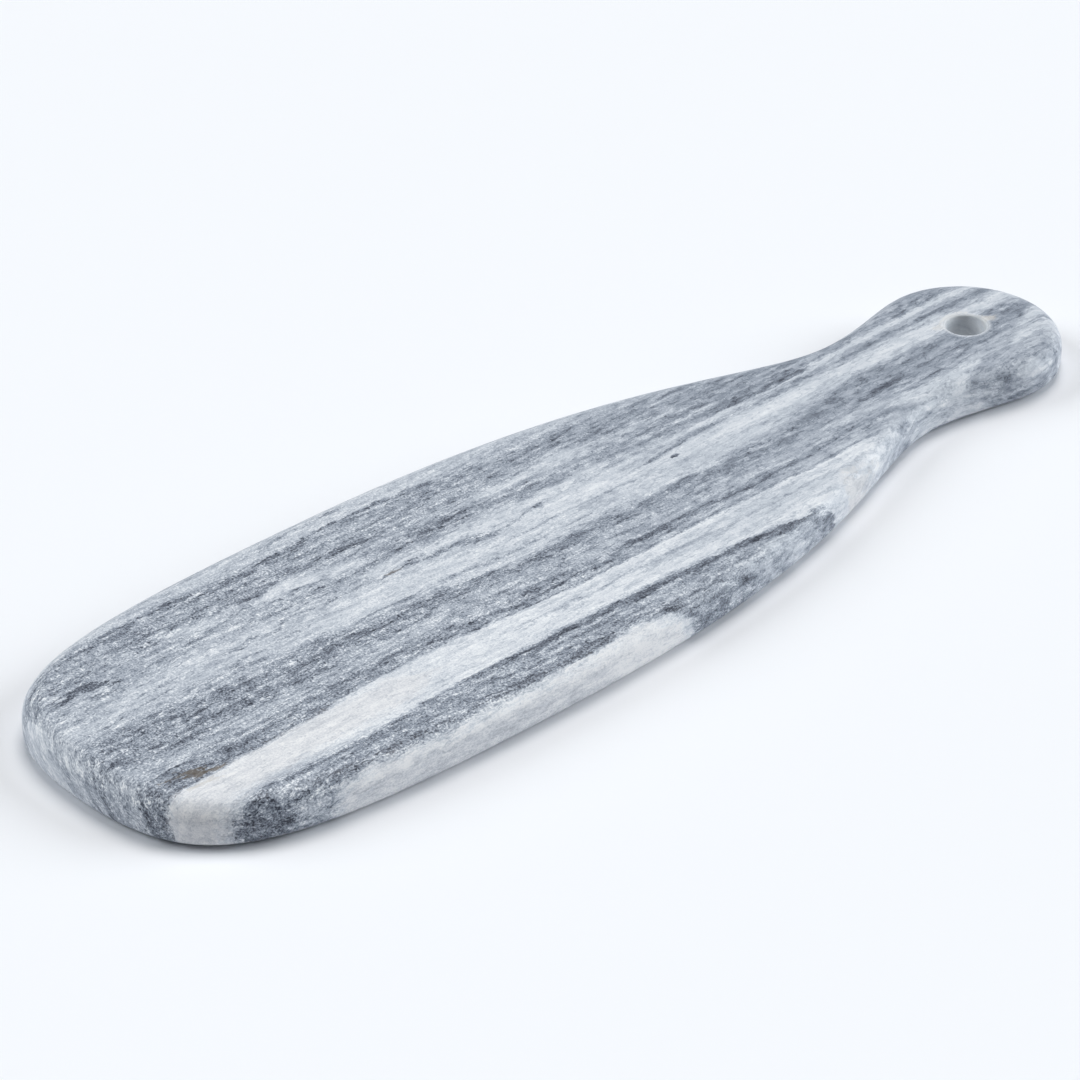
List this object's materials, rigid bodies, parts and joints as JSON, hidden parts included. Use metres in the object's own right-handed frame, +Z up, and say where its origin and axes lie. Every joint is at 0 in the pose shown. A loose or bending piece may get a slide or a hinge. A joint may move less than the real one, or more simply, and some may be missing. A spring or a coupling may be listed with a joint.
{
  "type": "marble serving board",
  "caption": "Paddle-shaped marble serving board with rounded edges, a necked handle with a hanging hole, and thin stick-on feet under the blade.",
  "frame": {"origin": "on the surface that the board stands on, under the middle of its length and width", "axes": "+X along the board towards the tip of its handle, +Y across it to the left, +Z up"},
  "size_m": [0.45, 0.135, 0.016],
  "materials": {
    "marble": "honed grey and white banded marble",
    "silicone": "matte milky silicone",
    "adhesive": "pale adhesive film"
  },
  "bodies": {
    "root": {"marble_slab": "marble", "foot_front_left": "silicone", "foot_front_right": "silicone", "foot_rear_left": "silicone", "foot_rear_right": "silicone", "adhesive_front_left": "adhesive", "adhesive_front_right": "adhesive", "adhesive_rear_left": "adhesive", "adhesive_rear_right": "adhesive"}
  },
  "joints": []
}
